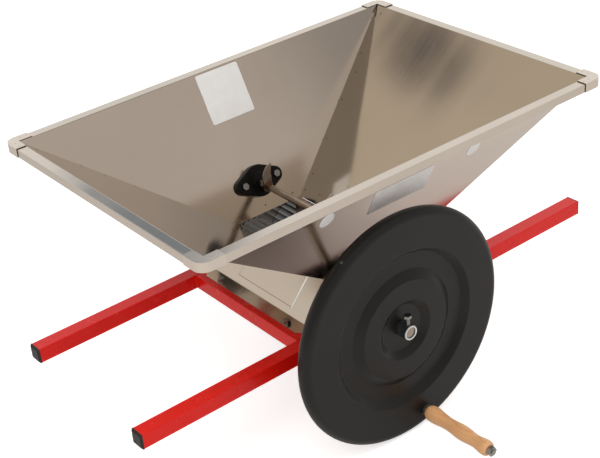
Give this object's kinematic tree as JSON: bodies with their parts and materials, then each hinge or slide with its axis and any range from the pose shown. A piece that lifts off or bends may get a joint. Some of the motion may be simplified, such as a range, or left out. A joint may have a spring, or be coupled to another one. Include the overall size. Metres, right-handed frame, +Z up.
{
  "type": "fruit crusher",
  "caption": "Hand-cranked fruit crusher with a sheet-metal hopper over two fluted rollers and a bladed agitator, carried by two rails that lie across a tub.",
  "frame": {"origin": "in the plane of the rails' undersides, at the middle of the frame, where the crusher rests on a tub", "axes": "+X along the rails and the hopper's length, +Y from the handwheel side to the gear side, +Z up"},
  "size_m": [1.1, 0.8022, 0.5576],
  "materials": {
    "red_powder_coat": "satin red powder coat",
    "stainless_sheet": "rolled stainless sheet, soft sheen",
    "rim_steel": "bright stainless sheet",
    "black_plug": "moulded black plastic",
    "black_nylon": "moulded black nylon",
    "black_wheel": "matte black moulded plastic",
    "roller_grey": "matte grey moulding",
    "gear_nylon": "natural nylon",
    "steel_bar": "drawn steel bar",
    "zinc_fastener": "zinc plate",
    "agitator_steel": "ground steel plate",
    "turned_wood": "clear varnish"
  },
  "bodies": {
    "frame": {"agitator_bearing_bolts": "zinc_fastener", "agitator_bearing_far": "black_nylon", "agitator_bearing_near": "black_nylon", "bearing_block_drive_far": "black_nylon", "bearing_block_drive_near": "black_nylon", "bearing_block_driven_far": "black_nylon", "bearing_block_driven_near": "black_nylon", "block_bolts": "zinc_fastener", "corner_cap_far_left": "rim_steel", "corner_cap_far_right": "rim_steel", "corner_cap_near_left": "rim_steel", "corner_cap_near_right": "rim_steel", "cross_tube_left": "red_powder_coat", "cross_tube_right": "red_powder_coat", "end_plug_far_left": "black_plug", "end_plug_far_right": "black_plug", "end_plug_near_left": "black_plug", "end_plug_near_right": "black_plug", "gear_guard": "stainless_sheet", "guard_bolts": "zinc_fastener", "hopper_wall_far": "stainless_sheet", "hopper_wall_left": "stainless_sheet", "hopper_wall_near": "stainless_sheet", "hopper_wall_right": "stainless_sheet", "rail_far": "red_powder_coat", "rail_near": "red_powder_coat", "side_plate_far": "stainless_sheet", "side_plate_near": "stainless_sheet", "support_bolts": "zinc_fastener", "support_plate_left": "stainless_sheet", "support_plate_right": "stainless_sheet"},
    "drive": {"drive_shaft": "steel_bar", "drive_roller": "roller_grey", "drive_gear": "gear_nylon", "handwheel": "black_wheel", "wheel_boss": "steel_bar", "clamp_screw": "zinc_fastener", "handle_bolt": "zinc_fastener", "handle_lock_nut": "zinc_fastener", "handle_end_nut": "zinc_fastener"},
    "driven": {"driven_shaft": "steel_bar", "driven_roller": "roller_grey", "driven_gear": "gear_nylon"},
    "agitator": {"agitator_blade_1": "agitator_steel", "agitator_blade_2": "agitator_steel", "agitator_blade_3": "agitator_steel", "agitator_blade_4": "agitator_steel", "agitator_collar_far": "steel_bar", "agitator_collar_near": "steel_bar", "agitator_gear": "gear_nylon", "agitator_shaft": "steel_bar"},
    "grip": {"handle_grip": "turned_wood"}
  },
  "joints": [
    {"name": "handwheel_spin", "type": "hinge", "parent": "frame", "child": "drive", "pos_m": [-0.051, 0, 0.057], "axis": [0, 1, 0], "continuous": true},
    {"name": "driven_roller_spin", "type": "hinge", "parent": "frame", "child": "driven", "pos_m": [0.051, 0, 0.057], "axis": [0, 1, 0], "continuous": true},
    {"name": "agitator_spin", "type": "hinge", "parent": "frame", "child": "agitator", "pos_m": [0, 0, 0.1623], "axis": [0, 1, 0], "continuous": true},
    {"name": "grip_spin", "type": "hinge", "parent": "drive", "child": "grip", "pos_m": [-0.01207, -0.4, -0.14325], "axis": [0, 1, 0], "continuous": true}
  ],
  "couplings": [
    {"joint": "driven_roller_spin", "follows": "handwheel_spin", "ratio": -1},
    {"joint": "agitator_spin", "follows": "handwheel_spin", "ratio": -0.77273}
  ]
}
